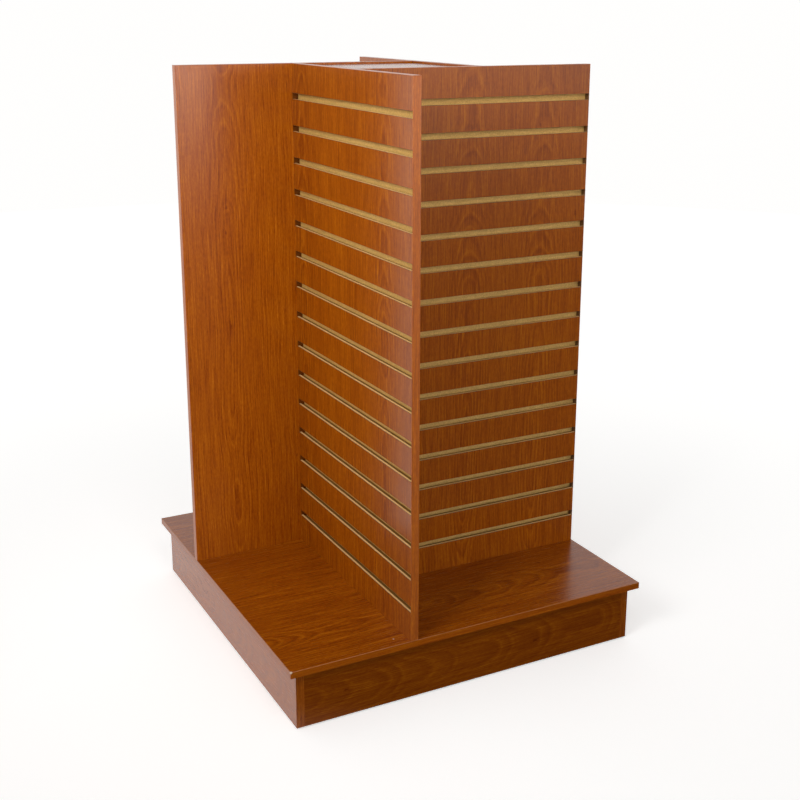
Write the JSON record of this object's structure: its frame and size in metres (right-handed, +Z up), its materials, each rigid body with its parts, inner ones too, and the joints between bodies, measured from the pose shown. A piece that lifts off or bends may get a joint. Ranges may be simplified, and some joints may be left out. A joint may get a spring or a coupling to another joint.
{
  "type": "slatwall display unit",
  "caption": "Free-standing retail display: grooved boards stand in a pinwheel round a capped core on a square deck with a recessed kick base and levelling feet.",
  "frame": {"origin": "on the floor under the middle of the deck, with the feet screwed right in", "axes": "+Z up; +X right and +Y back as one faces the kick board whose ends are covered by the side kick boards"},
  "size_m": [0.9144, 0.9144, 1.3716],
  "materials": {
    "cherry_laminate": "satin wood-grain laminate in a cherry colour on fibreboard",
    "board_core": "bare routed fibreboard, matt",
    "edge_band": "satin banding with a printed cherry grain",
    "raw_wood": "bare planed softwood",
    "zinc_steel": "zinc-plated steel",
    "cam_zinc": "cast zinc, dull",
    "foot_plastic": "black moulded plastic"
  },
  "bodies": {
    "base_and_boards": {"deck_band_front": "edge_band", "front_board_back": "cherry_laminate", "front_board_ribs": "board_core", "front_board_slats": "cherry_laminate", "front_board_end_band": "edge_band", "front_board_top_band": "edge_band", "kick_front": "cherry_laminate", "cap_cleat_front": "raw_wood", "deck_band_right": "edge_band", "right_board_back": "cherry_laminate", "right_board_ribs": "board_core", "right_board_slats": "cherry_laminate", "right_board_end_band": "edge_band", "right_board_top_band": "edge_band", "kick_right": "cherry_laminate", "cap_cleat_right": "raw_wood", "deck_band_back": "edge_band", "back_board_back": "cherry_laminate", "back_board_ribs": "board_core", "back_board_slats": "cherry_laminate", "back_board_end_band": "edge_band", "back_board_top_band": "edge_band", "kick_back": "cherry_laminate", "cap_cleat_back": "raw_wood", "deck_band_left": "edge_band", "left_board_back": "cherry_laminate", "left_board_ribs": "board_core", "left_board_slats": "cherry_laminate", "left_board_end_band": "edge_band", "left_board_top_band": "edge_band", "kick_left": "cherry_laminate", "cap_cleat_left": "raw_wood", "corner_block_front_left": "raw_wood", "corner_block_front_right": "raw_wood", "corner_block_back_right": "raw_wood", "corner_block_back_left": "raw_wood", "deck": "cherry_laminate", "top_cap": "cherry_laminate", "kick_end_bands": "edge_band", "centre_stretcher": "board_core", "kick_dowels": "raw_wood", "block_screws": "zinc_steel", "deck_screws": "zinc_steel", "foot_nuts": "zinc_steel", "board_screws": "zinc_steel", "cam_bolts": "zinc_steel", "cam_discs": "cam_zinc", "cleat_screws": "zinc_steel"},
    "foot_pad_front_left": {"foot_pad_front_left": "foot_plastic"},
    "foot_stem_front_left": {"foot_stem_front_left": "zinc_steel"},
    "foot_pad_front_right": {"foot_pad_front_right": "foot_plastic"},
    "foot_stem_front_right": {"foot_stem_front_right": "zinc_steel"},
    "foot_pad_back_right": {"foot_pad_back_right": "foot_plastic"},
    "foot_stem_back_right": {"foot_stem_back_right": "zinc_steel"},
    "foot_pad_back_left": {"foot_pad_back_left": "foot_plastic"},
    "foot_stem_back_left": {"foot_stem_back_left": "zinc_steel"}
  },
  "joints": [
    {"name": "foot_front_left_height", "type": "slide", "parent": "base_and_boards", "child": "foot_pad_front_left", "axis": [0, 0, -1], "range_m": [0, 0.012]},
    {"name": "foot_front_left_turn", "type": "hinge", "parent": "foot_pad_front_left", "child": "foot_stem_front_left", "pos_m": [-0.3991, -0.3991, 0.01], "axis": [0, 0, -1], "range_deg": [0, 3060]},
    {"name": "foot_front_right_height", "type": "slide", "parent": "base_and_boards", "child": "foot_pad_front_right", "axis": [0, 0, -1], "range_m": [0, 0.012]},
    {"name": "foot_front_right_turn", "type": "hinge", "parent": "foot_pad_front_right", "child": "foot_stem_front_right", "pos_m": [0.3991, -0.3991, 0.01], "axis": [0, 0, -1], "range_deg": [0, 3060]},
    {"name": "foot_back_right_height", "type": "slide", "parent": "base_and_boards", "child": "foot_pad_back_right", "axis": [0, 0, -1], "range_m": [0, 0.012]},
    {"name": "foot_back_right_turn", "type": "hinge", "parent": "foot_pad_back_right", "child": "foot_stem_back_right", "pos_m": [0.3991, 0.3991, 0.01], "axis": [0, 0, -1], "range_deg": [0, 3060]},
    {"name": "foot_back_left_height", "type": "slide", "parent": "base_and_boards", "child": "foot_pad_back_left", "axis": [0, 0, -1], "range_m": [0, 0.012]},
    {"name": "foot_back_left_turn", "type": "hinge", "parent": "foot_pad_back_left", "child": "foot_stem_back_left", "pos_m": [-0.3991, 0.3991, 0.01], "axis": [0, 0, -1], "range_deg": [0, 3060]}
  ],
  "couplings": [
    {"joint": "foot_front_left_height", "follows": "foot_front_left_turn", "m_per_rad": 0.00022459},
    {"joint": "foot_front_right_height", "follows": "foot_front_right_turn", "m_per_rad": 0.00022459},
    {"joint": "foot_back_right_height", "follows": "foot_back_right_turn", "m_per_rad": 0.00022459},
    {"joint": "foot_back_left_height", "follows": "foot_back_left_turn", "m_per_rad": 0.00022459}
  ]
}
